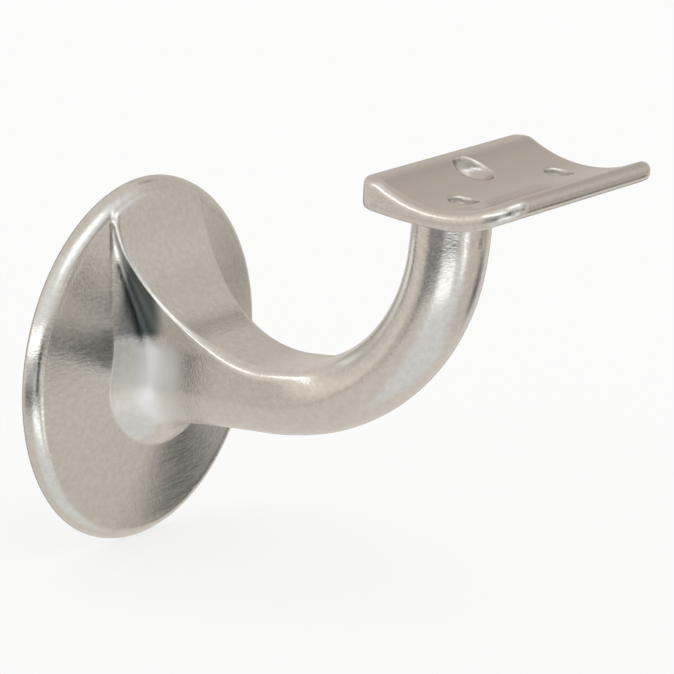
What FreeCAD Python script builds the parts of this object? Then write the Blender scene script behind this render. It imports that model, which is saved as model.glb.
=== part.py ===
"""Handrail bracket: one aluminium casting, a round rose, a swan-neck arm and a rail saddle.

Millimetres.  The origin is the centre of the rose's back face, which lies on the
wall.  +Y points into the wall, so the arm reaches out along -Y.  +Z is up and +X
runs along the handrail.
"""
import FreeCAD
import Part
import os
from math import sin, cos, tan, tanh, exp, radians, sqrt, pi

V = FreeCAD.Vector

# ---- driving sizes ---------------------------------------------------------
ROSE_D = 70.0            # round rose against the wall
RIM_R = 3.3              # quarter-round on the rose's rim
FACE_RISE = 5.0          # how far the shallow cone rises between rim and arm root
ARM_W = 16.8             # oval arm, along the rail
ARM_H = 13.5             # oval arm, across its bend
ARM_LEVEL = 31.8         # wall to the start of the arm's bend
ARM_BEND_R = 37.4        # bend of the arm, on its centre line
ARM_LEAN = 4.5           # degrees that its top end leans out from upright
ARM_UPRIGHT = 13.2       # end of the bend up to the lowest line of the seat
ARM_DROP = 1.6           # the level arm's centre line, below the rose's centre
ROOT_WIDE = 0.3          # how much wider than the arm the root is, each side
ROOT_DEEP = 3.0          # how much deeper than the arm the root is, below
WEB_TOP_W = 26.8         # web's width at the rim
WEB_FOOT_W = 17.2        # and at its foot, where its flat top runs out on the arm
WEB_R = 31.4             # hollow of the web's top
WEB_PROUD = 0.1          # how far that hollow stays in front of the rose's rim
RIDGE_R = 0.8            # edge along the web's ridges
RIDGE_FOOT_R = 2.2       # the same edge, softer at the web's foot
SADDLE_L = 51.0          # along the rail
SADDLE_W = 31.7          # across the rail
SADDLE_T = 3.6           # at its middle
RAIL_R = 25.4            # rail radius the saddle is shaped to
SADDLE_OFFSET = 11.5     # saddle's middle, out beyond the arm's top
RAIL_OFFSET = 1.15       # rail's centre line, out beyond the saddle's middle
SADDLE_CORNER_IN = 2.8   # corner radius on the wall side
SADDLE_CORNER_OUT = 6.0  # corner radius on the outer side
SHOULDER_R = 3.0         # between the saddle's flat wall-side land and its hollow
EDGE_TOP_R = 1.5         # round on the seat's edges
EDGE_UNDER_R = 1.2       # round on the underside's edges
NECK_EDGE_R = 2.8        # round on the arm's top, where it stands past the saddle's wall side
SCREW_D = 5.3            # rail screw holes
SCREW_PITCH = 31.4       # between the two rail screws
SCREW_HEAD_D = 9.6       # countersinks for them, underneath
DISH_OFFSET = 3.5        # dished hole, out beyond the arm's top
DISH_D = 7.8             # its mouth
DISH_WALL = 0.8          # straight wall below the mouth
DISH_BORE_D = 4.2        # its blind bore
DISH_DEPTH = 14.0        # mouth to the bore's end
STUD_BORE_D = 6.8        # tapping bore for the concealed wall stud
STUD_DEPTH = 22.0        # its depth from the wall

# ---- sizes that follow from them -------------------------------------------
ROSE_R = ROSE_D / 2.0
ARM_A, ARM_B = ARM_W / 2.0, ARM_H / 2.0
FACE_R = ROSE_R - RIM_R                     # where the cone starts
CONE_R = 0.9 * (ARM_A + ROOT_WIDE)          # where the cone ends
BEND_END = radians(90.0 - ARM_LEAN)
BEND_Z = ARM_BEND_R - ARM_DROP              # height of the bend's centre
TOP_Y = ARM_LEVEL + ARM_BEND_R * sin(BEND_END)      # where the bend ends, out from the wall
TOP_Z = BEND_Z - ARM_BEND_R * cos(BEND_END)         # and up
SEAT_Z = TOP_Z + ARM_UPRIGHT                # lowest line of the seat
ARM_REACH = TOP_Y + ARM_UPRIGHT / tan(BEND_END)     # wall to the arm's top
SADDLE_Y = ARM_REACH + SADDLE_OFFSET        # wall to the saddle's middle
RAIL_Y = SADDLE_Y + RAIL_OFFSET             # wall to the rail's centre line
LAND_W = SADDLE_CORNER_IN + 1.2             # flat land along the saddle's wall side
DISH_Y = ARM_REACH + DISH_OFFSET
WEB_LOW = ARM_B + 0.5 - ARM_DROP            # lowest line of the web's hollow
WEB_Y = RIM_R + WEB_PROUD + WEB_R           # its centre, out from the wall
WEB_Z = WEB_LOW + WEB_R                     # and up


def smooth(t):
    """Ease from 0 to 1."""
    t = min(max(t, 0.0), 1.0)
    return t * t * (3.0 - 2.0 * t)


def lerp(a, b, t):
    return a + (b - a) * t


def pt(x, out, z):
    """A point at sideways x, distance out from the wall and height z."""
    return V(x, -out, z)


def face_out(r):
    """How far the rose's face stands off the wall at radius r."""
    t = (FACE_R - r) / (FACE_R - CONE_R)
    return RIM_R + FACE_RISE * min(max(t, 0.0), 1.0)


# ---- the web's hollow top ----------------------------------------------------
def web_out(z):
    """Distance out of the web's hollow top at height z."""
    return WEB_Y - sqrt(max(WEB_R ** 2 - min(WEB_Z - z, WEB_R) ** 2, 0.0))


def web_top(out):
    """Height of the web's hollow top at a distance out from the wall."""
    return WEB_Z - sqrt(max(WEB_R ** 2 - (WEB_Y - out) ** 2, 0.0))


def web_half(z):
    """Half width of the web at height z, from its foot to the rim."""
    t = min(max((z - WEB_LOW) / (0.74 * (FACE_R - WEB_LOW)), 0.0), 1.0)
    return lerp(WEB_FOOT_W, WEB_TOP_W, 0.5 * (t + smooth(t))) / 2


def rim_cap(out, x):
    """Height at which the web's top rolls over into the rose's rim."""
    r = ROSE_R - 0.25 * RIM_R - 0.35 * (out - 0.3 * RIM_R)
    return sqrt(r * r - x * x)


def soft_min(a, b, k):
    """The smaller of two heights, with a round of about k between them."""
    return 0.5 * (a + b - sqrt((a - b) ** 2 + k * k))


# ---- sections of root and arm ------------------------------------------------
# Each is in its own plane: sideways, and up from the arm's centre line.
CORNER = radians(48)                        # where the ridge fades out on the oval arm
NT, NC, NF, NB = 5, 5, 15, 13               # points on top, ridge, flank and underside


def oval_section(shrink=0.0):
    """The arm's oval section, split where the web's section has its ridges."""
    a, b = ARM_A - shrink, ARM_B - shrink
    d = 1.1 * RIDGE_R / ARM_A
    on = lambda t: (-a * sin(t), b * cos(t))
    top = [on(lerp(d - CORNER, CORNER - d, i / (NT - 1.0))) for i in range(NT)]
    edge = [on(lerp(CORNER - d, CORNER + d, i / (NC - 1.0))) for i in range(NC)]
    flank = [on(lerp(CORNER + d, pi / 2, i / (NF - 1.0))) for i in range(NF)]
    under = [on(lerp(pi / 2, 3 * pi / 2, i / (NB - 1.0))) for i in range(NB)]
    return top, edge, flank, under


def root_section(out, top_z, root):
    """Section with the web's ridges at height top_z: a nearly flat top, hollow flanks and
    a round underside.  root runs from 0 on the arm to 1 at the rose."""
    half = ARM_A + ROOT_WIDE * root
    deep = ARM_B + ROOT_DEEP * root ** 1.4
    low = WEB_LOW + ARM_DROP

    def side(z):
        if z > low:
            wide = web_half(z - ARM_DROP)
        else:
            wide = lerp(half, web_half(WEB_LOW), smooth(z / low))
        return wide + flare(out, z, wide)

    def lid(x):
        return soft_min(top_z, rim_cap(out, x) + ARM_DROP, 0.5 * RIM_R)

    wt = side(lid(WEB_TOP_W / 2))
    zc = lid(wt)
    r = lerp(RIDGE_FOOT_R, RIDGE_R, smooth((top_z - low) / (0.5 * ARM_H)))
    r += RIDGE_R * (1.0 - smooth((out - RIM_R) / (0.1 * ARM_LEVEL)))
    fall = side(zc - r) - wt
    p0, p1, p2 = (r - wt, lid(wt - r)), (-wt, zc), (-wt - fall, zc - r)
    top = [(x, lid(x)) for x in (lerp(-p0[0], p0[0], i / (NT - 1.0)) for i in range(NT))]
    edge = []
    for i in range(NC):
        u = i / (NC - 1.0)
        edge.append(tuple((1 - u) ** 2 * a + 2 * u * (1 - u) * b + u * u * c
                          for a, b, c in zip(p0, p1, p2)))
    heights = [(zc - r) * (1.0 - i / (NF - 1.0)) for i in range(NF)]
    flank = [(-side(z), z) for z in heights]
    deep += 0.6 * flare(out, -deep, 0.0)
    s0 = side(0.0)
    under = [(-s0 * cos(pi * i / (NB - 1)), -deep * sin(pi * i / (NB - 1))) for i in range(NB)]
    return top, edge, flank, under


FLARE_R = 0.8 * ARM_B + 0.4                 # sweep between the flanks and the rose's face


def flare(out, z, wide):
    """Extra half width where a flank sweeps into the rose's face: fades with the height
    above the face, and with the web's own height towards the rim."""
    radius = sqrt(wide ** 2 + z ** 2)
    foot = face_out(radius)
    gap = max(web_out(z - ARM_DROP) - foot, 0.0)
    r = FLARE_R * tanh(0.8 * gap / FLARE_R) * smooth((FACE_R - radius) / (0.15 * ROSE_R))
    if r < 0.02:
        return 0.0
    return 1.8 * r / (1.0 + exp(min(4.0 * (out - foot) / r, 50.0)))


def spline(points):
    """Smooth curve through points, evenly parameterised so that sections match."""
    c = Part.BSplineCurve()
    n = len(points) - 1
    c.interpolate(Points=points, Parameters=[i / float(n) for i in range(n + 1)])
    return c.toShape()


def section_wire(sec, place):
    """Closed wire of one section; each side is its own edge, so the loft keeps the ridges."""
    top, edge, flank, under = sec
    flip = lambda pts: [(-x, z) for x, z in reversed(pts)]
    runs = [top, edge, flank, under, flip(flank), flip(edge)]
    return Part.Wire([spline([place(x, z) for x, z in run]) for run in runs])


def blend(a, b, t):
    return [[(lerp(p[0], q[0], t), lerp(p[1], q[1], t)) for p, q in zip(u, v)] for u, v in zip(a, b)]


def arm_body():
    """Root, web and arm in one loft, from inside the rose up into the saddle."""
    wires = []
    span = ARM_LEVEL + ARM_B - RIM_R
    for k in (0.65, 0.9, 1.06, 1.2):
        sec = root_section(RIM_R * k, web_top(max(RIM_R * k, RIM_R + WEB_PROUD)) + ARM_DROP, 1.0)
        wires.append(section_wire(sec, lambda x, z: pt(x, RIM_R * k, z - ARM_DROP)))
    for k in (0.035, 0.06, 0.09, 0.13, 0.18, 0.24, 0.31, 0.39, 0.48, 0.58, 0.69, 0.8, 0.91):
        out = lerp(RIM_R, ARM_LEVEL, k)
        root = (ARM_LEVEL + ARM_B - out) / span
        sec = root_section(out, web_top(out) + ARM_DROP, root)
        wires.append(section_wire(sec, lambda x, z: pt(x, out, z - ARM_DROP)))
    # round the bend the web's flat top and its ridges fade into the oval arm
    for k in (0, 0.055, 0.11, 0.18, 0.25, 0.33, 0.41, 0.5, 0.6, 0.7, 0.8, 0.9, 1):
        a = k * BEND_END
        root = max((ARM_B - ARM_BEND_R * a) / span, 0.0)
        top_z = web_top(min(ARM_LEVEL + ARM_BEND_R * sin(a), WEB_Y)) + ARM_DROP
        sec = blend(root_section(ARM_LEVEL, top_z, root), oval_section(), smooth((k - 0.055) / 0.45))
        wires.append(section_wire(sec, lambda x, z: pt(
            x, ARM_LEVEL + (ARM_BEND_R - z) * sin(a), BEND_Z - (ARM_BEND_R - z) * cos(a))))
    # leaning end of the arm, its top edge rounded inside and behind the saddle
    top = ARM_UPRIGHT - 0.3 * SADDLE_T
    r = min(NECK_EDGE_R, 0.5 * top, 0.6 * ARM_B)
    ends = [((top - r) * k, 0.0) for k in (0.33, 0.67)]
    for deg in (0, 22, 45, 68, 88):
        ends.append((top - r + r * sin(radians(deg)), r * (1 - cos(radians(deg)))))
    for up, shrink in ends:
        wires.append(section_wire(oval_section(shrink), lambda x, z: pt(
            x, TOP_Y + up * cos(BEND_END) - z * sin(BEND_END),
            TOP_Z + up * sin(BEND_END) + z * cos(BEND_END))))
    return Part.makeLoft(wires, True, False)


def rose_body():
    """The rose: flat back, quarter-round rim, shallow conical face."""
    c = RIM_R * (1 - cos(radians(45)))
    prof = [Part.makeLine(V(0, 0, 0), V(ROSE_R, 0, 0)),
            Part.Arc(V(ROSE_R, 0, 0), V(ROSE_R - c, -RIM_R + c, 0), V(FACE_R, -RIM_R, 0)).toShape(),
            Part.makeLine(V(FACE_R, -RIM_R, 0), V(CONE_R, -RIM_R - FACE_RISE, 0)),
            Part.makeLine(V(CONE_R, -RIM_R - FACE_RISE, 0), V(0, -RIM_R - FACE_RISE, 0)),
            Part.makeLine(V(0, -RIM_R - FACE_RISE, 0), V(0, 0, 0))]
    return Part.Face(Part.Wire(prof)).revolve(V(0, 0, 0), V(0, 1, 0), 360)


def seat_z(out):
    """Height of the seat's hollow at a distance out from the wall."""
    return SEAT_Z + RAIL_R - sqrt(RAIL_R ** 2 - (out - RAIL_Y) ** 2)


def under_z(out):
    """Height of the saddle's underside: nearly level by the wall, curving up outside."""
    d = out - RAIL_Y
    bow = 1.07 * RAIL_R if d > 0 else 3.8 * RAIL_R
    return SEAT_Z - SADDLE_T + bow - sqrt(bow ** 2 - d * d)


def saddle_body():
    """The saddle: a plate hollowed to the rail, with rounded corners and soft edges."""
    y0, y1, yc = SADDLE_Y - SADDLE_W / 2, SADDLE_Y + SADDLE_W / 2, RAIL_Y
    x, zl = -SADDLE_L / 2, seat_z(y0 + LAND_W)
    # a soft shoulder between the flat land and the hollow, tangent to both
    up = SEAT_Z + RAIL_R
    ys = yc - sqrt((RAIL_R + SHOULDER_R) ** 2 - (up - zl + SHOULDER_R) ** 2)
    dy, dz = (ys - yc) / (RAIL_R + SHOULDER_R), (zl - SHOULDER_R - up) / (RAIL_R + SHOULDER_R)
    yt, zt = yc + RAIL_R * dy, up + RAIL_R * dz
    half = sqrt((1 - dz) ** 2 + dy ** 2)
    mid = (ys - SHOULDER_R * dy / half, zl - SHOULDER_R + SHOULDER_R * (1 - dz) / half)
    ym = (yt + y1) / 2
    line = lambda p, q: Part.makeLine(pt(x, *p), pt(x, *q))
    arc = lambda p, m, q: Part.Arc(pt(x, *p), pt(x, *m), pt(x, *q)).toShape()
    low = lambda y: (y, under_z(y))
    sec = [line((y0, zl), (ys, zl)),
           arc((ys, zl), mid, (yt, zt)),
           arc((yt, zt), (ym, seat_z(ym)), (y1, seat_z(y1))),
           line((y1, seat_z(y1)), low(y1)),
           arc(low(y1), low((yc + y1) / 2), low(yc)),
           arc(low(yc), low((yc + y0) / 2), low(y0)),
           line(low(y0), (y0, zl))]
    bar = Part.Face(Part.Wire(sec)).extrude(V(SADDLE_L, 0, 0))
    plan = rounded_plan(-SADDLE_L / 2, SADDLE_L / 2, y0, y1)
    base = SEAT_Z - 3 * SADDLE_T
    body = bar.common(plan.extrude(V(0, 0, seat_z(y1) + SADDLE_T - base)).translated(V(0, 0, base)))
    body = soften(body, False, EDGE_UNDER_R)
    return soften(body, True, EDGE_TOP_R)


def soften(body, upper, r):
    """Round the plate's upper or lower outline."""
    picked = []
    for e in body.Edges:
        mid = e.valueAt((e.FirstParameter + e.LastParameter) / 2)
        a, b = e.Vertexes[0].Point, e.Vertexes[-1].Point
        upright = sqrt((a.x - b.x) ** 2 + (a.y - b.y) ** 2) < 0.01
        seam = abs(a.y - b.y) < 0.01 and abs(abs(-mid.y - SADDLE_Y) - SADDLE_W / 2) > 0.3
        top_side = mid.z > (seat_z(-mid.y) + under_z(-mid.y)) / 2
        if not upright and not seam and top_side == upper:
            picked.append(e)
    return body.makeFillet(r, picked)


def rounded_plan(x0, x1, y0, y1):
    """Plan of the saddle, larger corners on the wall side."""
    a, b = SADDLE_CORNER_IN, SADDLE_CORNER_OUT
    k = 1 - cos(radians(45))
    ln = lambda p, q: Part.makeLine(pt(p[0], p[1], 0), pt(q[0], q[1], 0))
    arc = lambda p, m, q: Part.Arc(pt(p[0], p[1], 0), pt(m[0], m[1], 0), pt(q[0], q[1], 0)).toShape()
    e = [ln((x0 + a, y0), (x1 - a, y0)),
         arc((x1 - a, y0), (x1 - a * k, y0 + a * k), (x1, y0 + a)),
         ln((x1, y0 + a), (x1, y1 - b)),
         arc((x1, y1 - b), (x1 - b * k, y1 - b * k), (x1 - b, y1)),
         ln((x1 - b, y1), (x0 + b, y1)),
         arc((x0 + b, y1), (x0 + b * k, y1 - b * k), (x0, y1 - b)),
         ln((x0, y1 - b), (x0, y0 + a)),
         arc((x0, y0 + a), (x0 + a * k, y0 + a * k), (x0 + a, y0))]
    return Part.Face(Part.Wire(e))


def holes():
    """Rail screw holes, the dished hole over the arm and the wall stud's bore."""
    up = V(0, 0, 1)
    cuts = []
    head = (SCREW_HEAD_D - SCREW_D) / 2
    for x in (-SCREW_PITCH / 2, SCREW_PITCH / 2):
        cuts.append(Part.makeCylinder(SCREW_D / 2, 4 * SADDLE_T,
                                      pt(x, SADDLE_Y, SEAT_Z - 2 * SADDLE_T), up))
        cuts.append(Part.makeCone(SCREW_HEAD_D / 2 + head, SCREW_D / 2, 2 * head,
                                  pt(x, SADDLE_Y, SEAT_Z - SADDLE_T - head), up))
    mouth = seat_z(DISH_Y)
    cone_h = (DISH_D - DISH_BORE_D) / 2
    cone_z = mouth - DISH_WALL - cone_h
    cuts.append(Part.makeCylinder(DISH_D / 2, 2 * SADDLE_T, pt(0, DISH_Y, mouth - DISH_WALL), up))
    cuts.append(Part.makeCone(DISH_BORE_D / 2, DISH_D / 2, cone_h, pt(0, DISH_Y, cone_z), up))
    cuts.append(Part.makeCylinder(DISH_BORE_D / 2, DISH_DEPTH, pt(0, DISH_Y, mouth - DISH_DEPTH), up))
    cuts.append(Part.makeCylinder(STUD_BORE_D / 2, STUD_DEPTH, V(0, 0, 0), V(0, -1, 0)))
    return cuts


def bracket():
    """The whole casting, one solid."""
    body = rose_body().fuse(arm_body()).fuse(saddle_body())
    for cut in holes():
        body = body.cut(cut)
    return body.removeSplitter()


os.makedirs("parts", exist_ok=True)
bracket().exportStep("parts/bracket_casting.step")
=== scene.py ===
"""A cast aluminium handrail bracket on a pale studio floor."""
import math
import bpy
from mathutils import Matrix, Vector


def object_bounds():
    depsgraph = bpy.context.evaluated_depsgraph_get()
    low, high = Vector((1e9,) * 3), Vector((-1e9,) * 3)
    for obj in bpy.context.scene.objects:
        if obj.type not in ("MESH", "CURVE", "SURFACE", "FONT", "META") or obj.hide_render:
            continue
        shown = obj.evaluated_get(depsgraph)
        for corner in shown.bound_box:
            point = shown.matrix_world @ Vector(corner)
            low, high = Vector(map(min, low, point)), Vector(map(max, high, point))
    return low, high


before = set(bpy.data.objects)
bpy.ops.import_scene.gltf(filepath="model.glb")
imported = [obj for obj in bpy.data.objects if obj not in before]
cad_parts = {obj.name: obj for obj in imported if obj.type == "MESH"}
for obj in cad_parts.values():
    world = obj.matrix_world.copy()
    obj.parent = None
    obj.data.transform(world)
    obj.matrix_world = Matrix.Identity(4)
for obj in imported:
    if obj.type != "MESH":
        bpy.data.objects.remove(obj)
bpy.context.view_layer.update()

# ---- the casting -----------------------------------------------------------------
# Rose, arm and saddle are one sand casting in aluminium. It was fettled, linished on a
# belt and lightly buffed, so it is bright but no mirror. A stud behind the rose holds it
# to the wall.
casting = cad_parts["bracket_casting"]
mm = 0.001


def linear(hexes):
    """An sRGB hex colour as linear RGBA."""
    v = [int(hexes[i:i + 2], 16) / 255 for i in (1, 3, 5)]
    return [c / 12.92 if c <= 0.04045 else ((c + 0.055) / 1.055) ** 2.4 for c in v] + [1.0]


def node(tree, kind, inputs=None, **settings):
    """Adds a node with its settings. inputs gives a socket its value, or the output feeding it."""
    n = tree.nodes.new(kind)
    for key, value in settings.items():
        setattr(n, key, value)
    for key, value in (inputs or {}).items():
        if isinstance(value, bpy.types.NodeSocket):
            tree.links.new(value, n.inputs[key])
        else:
            n.inputs[key].default_value = value
    return n


def new_material(name):
    """An empty material and its node tree."""
    m = bpy.data.materials.new(name)
    m.use_nodes = True
    m.node_tree.nodes.clear()
    return m, m.node_tree


# Cast aluminium, linished and buffed: a pale grey, bright but with soft-edged reflections.
# The belt's scratches run along the rail, 0.1 mm apart, and the cast grain is 0.1 mm too.
# They are drawn 0.4 and 0.5 mm apart, so that they show.
scratch_apart = 0.4 * mm
scratch_long = 11 * mm
grain_apart = 0.5 * mm
hand_apart = 7 * mm           # how far apart the hand-made waves are
mottle_apart = 1.25 * mm      # and the patches of uneven grey
linished, t = new_material("linished_cast_aluminium")
coordinates = node(t, "ShaderNodeTexCoord")
coords = coordinates.outputs["Object"]
along = node(t, "ShaderNodeMapping",
             {"Vector": coords, "Scale": (1 / scratch_long, 1 / scratch_apart, 1 / scratch_apart)})
scratches = node(t, "ShaderNodeTexNoise",
                 {"Vector": along.outputs["Vector"], "Scale": 1.0, "Detail": 2.0, "Roughness": 0.6})
grain = node(t, "ShaderNodeTexNoise",
             {"Vector": coords, "Scale": 1 / grain_apart, "Detail": 2.0, "Roughness": 0.6})
hand = node(t, "ShaderNodeTexNoise",
            {"Vector": coords, "Scale": 1 / hand_apart, "Detail": 1.0, "Roughness": 0.4})
mottle = node(t, "ShaderNodeTexNoise",
              {"Vector": coords, "Scale": 1 / mottle_apart, "Detail": 3.0, "Roughness": 0.65})

# Linishing eases every edge by about 1 mm; waves, scratches and grain are laid on that.
relief = node(t, "ShaderNodeBevel", {"Radius": 1.0 * mm}, samples=8)
for height, strength, depth in ((hand, 0.09, 0.3 * mm), (scratches, 0.30, 0.05 * mm),
                                (grain, 0.45, 0.05 * mm)):
    relief = node(t, "ShaderNodeBump",
                  {"Height": height.outputs["Fac"], "Normal": relief.outputs["Normal"],
                   "Strength": strength, "Distance": depth})

place = node(t, "ShaderNodeSeparateXYZ", {"Vector": coords})
facing = node(t, "ShaderNodeSeparateXYZ", {"Vector": coordinates.outputs["Normal"]})


def within(share, *edges):
    """A share times a smooth step for each edge. An edge is an axis, and in mm the place where
    its step is 0 and the place where it is 1."""
    for axis, none, full in edges:
        step = node(t, "ShaderNodeMapRange",
                    {"Value": place.outputs[axis], "From Min": none * mm, "From Max": full * mm},
                    interpolation_type="SMOOTHSTEP")
        share = node(t, "ShaderNodeMath", {0: share, 1: step.outputs["Result"]},
                     operation="MULTIPLY").outputs[0]
    return share


# The flanks of web and arm: 1 where the metal faces sideways. The hollow beside each ridge
# shows dark on the real one, from what the metal mirrors there and from shade. It is drawn
# here as darker metal: painted reflection and painted shade.
sideways = node(t, "ShaderNodeMath", {0: facing.outputs["X"]}, operation="ABSOLUTE")
flank = node(t, "ShaderNodeMapRange",
             {"Value": sideways.outputs[0], "From Min": 0.35, "From Max": 0.60},
             interpolation_type="SMOOTHSTEP").outputs["Result"]
level = node(t, "ShaderNodeMapRange",
             {"Value": facing.outputs["Z"], "From Min": 0.40, "From Max": 0.15})
under_ridge = node(t, "ShaderNodeMath", {0: flank, 1: level.outputs["Result"]},
                   operation="MULTIPLY")
# The hollow's darker metal is painted reflection and painted shade.
painted_shade_hollow = within(under_ridge.outputs[0], ("Y", -5.5, -7.0), ("Y", -13.8, -10.8),
                ("Z", 6.8, 8.8), ("Z", 24.0, 20.0))
# Below it the arm's root shows pale and soft. It is taken as rubbed down by hand with emery,
# so it is duller. Its paleness is a painted highlight, drawn as paler metal on its outer half.
root = within(flank, ("Y", -3.0, -5.0), ("Y", -19.0, -14.0), ("Z", 8.5, 5.0))
root_painted_highlight = within(root, ("Y", -6.0, -10.5))
# The saddle's seat, which the rail covers, is belted but not buffed.
upward = node(t, "ShaderNodeMapRange",
              {"Value": facing.outputs["Z"], "From Min": 0.45, "From Max": 0.75})
seat = within(upward.outputs["Result"], ("Z", 40.0, 42.0), ("Y", -62.0, -64.0))

uneven = node(t, "ShaderNodeMapRange",
              {"Value": mottle.outputs["Fac"], "From Min": 0.35, "From Max": 0.65})
colour = linear("#D7D5D0")
# Laid on the metal's own grey: uneven grey at random, the duller seat, a painted highlight on the
# arm's root, and painted reflection and shade in the hollows.
for share, tint in ((uneven.outputs["Result"], "#CFCCC6"), (seat, "#C6C2BB"),
                    (root_painted_highlight, "#E6E5E2"), (painted_shade_hollow, "#626B6A")):
    colour = node(t, "ShaderNodeMix", {0: share, 6: colour, 7: linear(tint)},
                  data_type="RGBA").outputs[2]
polish = node(t, "ShaderNodeMapRange",
              {"Value": scratches.outputs["Fac"], "From Min": 0.3, "From Max": 0.7,
               "To Min": 0.16, "To Max": 0.25})
emery = 0.22                  # what the emery adds to the roughness
dull = node(t, "ShaderNodeMath", {0: root, 1: emery, 2: polish.outputs["Result"]},
            operation="MULTIPLY_ADD")
shader = node(t, "ShaderNodeBsdfPrincipled",
              {"Base Color": colour, "Roughness": dull.outputs[0],
               "Normal": relief.outputs["Normal"], "Metallic": 1.0})
node(t, "ShaderNodeOutputMaterial", {"Surface": shader.outputs["BSDF"]})
for slot in casting.material_slots:
    slot.material = linished

# ---- camera -----------------------------------------------------------------------
# A long lens about 0.9 m away, to the left of the arm and a little above it. Lengths are
# in metres, from the wall plane and the rose's centre.


def look(azimuth, elevation, roll, target, distance):
    """Camera matrix from azimuth, elevation and roll in degrees, about a target."""
    a, e, r = (math.radians(v) for v in (azimuth, elevation, roll))
    back = Vector((math.sin(a) * math.cos(e), -math.cos(a) * math.cos(e), math.sin(e)))
    right = Vector((math.cos(a), math.sin(a), 0.0))
    up = back.cross(right)
    x = right * math.cos(r) + up * math.sin(r)
    y = up * math.cos(r) - right * math.sin(r)
    m = Matrix((x, y, back)).transposed().to_4x4()
    m.translation = Vector(target) + back * distance
    return m


cam = bpy.data.cameras.new("camera")
cam.sensor_width = 36.0
cam.lens = 238.8528
cam.clip_start = 0.01
cam.shift_x = 0.002478
cam.shift_y = 0.002003
camera = bpy.data.objects.new("camera", cam)
camera.matrix_world = look(-55.9, 14.592, 2.182, (0.040837, -0.0175, -0.001144), 0.8714)
bpy.context.scene.collection.objects.link(camera)
bpy.context.scene.camera = camera

# ---- floor ------------------------------------------------------------------------
# A pale floor just under the rose. The camera sees it white, with the bracket's shadow
# kept, and reflections pass through it to the room.
half_size = 6.0
under_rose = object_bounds()[0][2]
floor_mesh = bpy.data.meshes.new("floor")
floor_mesh.from_pydata([(-half_size, -half_size, under_rose), (half_size, -half_size, under_rose),
                        (half_size, half_size, under_rose), (-half_size, half_size, under_rose)],
                       [], [(0, 1, 2, 3)])
floor = bpy.data.objects.new("floor", floor_mesh)
bpy.context.scene.collection.objects.link(floor)
floor.visible_glossy = False
pale, t = new_material("pale_floor")
rays = node(t, "ShaderNodeLightPath")
paint = node(t, "ShaderNodeBsdfDiffuse", {"Color": linear("#F2F1EF")})
glow = node(t, "ShaderNodeEmission", {"Color": (1, 1, 1, 1), "Strength": 1.0})
white_share = 0.75            # the rest of what the camera sees is paint, with the shadow on it
share = node(t, "ShaderNodeMath", {0: rays.outputs["Is Camera Ray"], 1: white_share},
             operation="MULTIPLY")
mixed = node(t, "ShaderNodeMixShader",
             {0: share.outputs[0], 1: paint.outputs[0], 2: glow.outputs[0]})
node(t, "ShaderNodeOutputMaterial", {"Surface": mixed.outputs[0]})
floor_mesh.materials.append(pale)

# ---- room -------------------------------------------------------------------------
# What the metal reflects: a warm pale tent with neutral lamps, whose levels are over 1,
# and dark gaps in it. It stays put in the room. Everything else is lit by plain white.
world = bpy.data.worlds.new("studio")
bpy.context.scene.world = world
world.use_nodes = True
t = world.node_tree
t.nodes.clear()
way = node(t, "ShaderNodeSeparateXYZ", {0: node(t, "ShaderNodeTexCoord").outputs["Generated"]})
outwards = node(t, "ShaderNodeMath", {0: way.outputs["Y"], 1: -1.0}, operation="MULTIPLY")
azimuth = node(t, "ShaderNodeMath", {0: way.outputs["X"], 1: outwards.outputs[0]},
               operation="ARCTAN2").outputs[0]
elevation = node(t, "ShaderNodeMath", {0: way.outputs["Z"]}, operation="ARCSINE").outputs[0]


def patch(under, centre, half, soft, level, tint="#FFFFFF"):
    """A soft-edged rectangle of a level and tint over the room so far, by the product of two
    smooth steps, on the distances in azimuth and in elevation from its centre. centre, half
    width and height, and soft edge are in degrees. Azimuth 0 is straight out from the wall,
    and it is negative to the left."""
    masks = []
    for angle, c, h in zip((azimuth, elevation), centre, half):
        off = node(t, "ShaderNodeMath", {0: angle, 1: math.radians(c)}, operation="SUBTRACT")
        off = node(t, "ShaderNodeMath", {0: off.outputs[0]}, operation="ABSOLUTE")
        masks.append(node(t, "ShaderNodeMapRange",
                          {"Value": off.outputs[0], "From Min": math.radians(h + soft),
                           "From Max": math.radians(max(h - soft, 0))},
                          interpolation_type="SMOOTHSTEP").outputs["Result"])
    mask = node(t, "ShaderNodeMath", {0: masks[0], 1: masks[1]}, operation="MULTIPLY")
    return node(t, "ShaderNodeMix",
                {0: mask.outputs[0], 6: under, 7: [level * c for c in linear(tint)]},
                data_type="RGBA").outputs[2]


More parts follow.
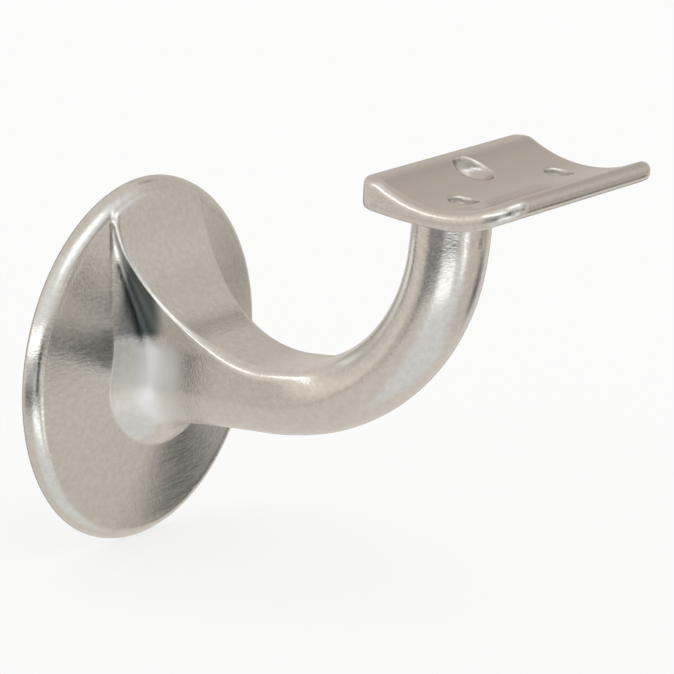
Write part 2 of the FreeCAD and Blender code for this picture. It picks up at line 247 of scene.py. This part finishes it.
warm = "#FFF6EC"
room = [0.82 * c for c in linear("#FFF7EF")]              # the tent's cloth
room = patch(room, (0, -60), (65, 38), 12, 0.90)          # pale table in front
room = patch(room, (44, -30), (22, 16), 8, 0.74, warm)    # its far right end
room = patch(room, (90, 14), (40, 26), 8, 0.68, warm)     # right side, away from the lamps
room = patch(room, (-120, 20), (20, 32), 3, 0.95, warm)   # left side, next to them
room = patch(room, (-118, -18), (16, 5), 3, 0.66, warm)   # and its foot
room = patch(room, (93, 41), (5, 4), 4, 0.15)             # gap at the top of the right side
room = patch(room, (-24, 44), (78, 24), 12, 1.00)         # broad soft lamp overhead in front
room = patch(room, (-8, 53), (34, 11), 8, 2.00)           # its bright middle
room = patch(room, (-78, -5), (28, 9), 3, 0.62)           # wall beyond the tent's left edge
room = patch(room, (-85, 13), (38, 5), 3, 2.8)            # strip lamp beside the camera
room = patch(room, (-36, 9), (14, 4), 3, 2.0)             # its near end
room = patch(room, (-28, -8), (26, 6), 3, 1.08)           # near edge of the table
room = patch(room, (-25, -1), (34, 3), 2, 0.06)           # dark behind that edge
room = patch(room, (-27, -3), (8, 13), 3, 0.0)            # lamp stand
room = patch(room, (-54, -17), (48, 4), 2, 0.08)          # dark under the edge
room = patch(room, (-84, -17), (24, 6), 3, 0.20)          # going on to the left
room = patch(room, (25, -5), (10, 6), 3, 0.15)            # dark gaps right of the arm
room = patch(room, (33, 18), (6, 8), 3, 0.25)
room = patch(room, (-32, -28), (22, 7), 3, 1.8)           # lamps low in front
room = patch(room, (11, -21), (4, 3), 3, 2.8)
room = patch(room, (69, -25), (9, 7), 4, 0.13)            # dark things low on the right
room = patch(room, (57, -11), (8, 5), 4, 0.50, warm)
room = patch(room, (76, -9), (7, 5), 4, 0.42, warm)
room = patch(room, (118, -16), (9, 8), 4, 0.38, warm)
rays = node(t, "ShaderNodeLightPath")
seen = node(t, "ShaderNodeBackground", {"Color": room, "Strength": 1.0})
plain = node(t, "ShaderNodeBackground", {"Color": (1, 1, 1, 1), "Strength": 1.0})
lit = node(t, "ShaderNodeMixShader",
           {0: rays.outputs["Is Glossy Ray"], 1: plain.outputs[0], 2: seen.outputs[0]})
node(t, "ShaderNodeOutputWorld", {"Surface": lit.outputs[0]})
bpy.context.scene.view_settings.view_transform = "Standard"
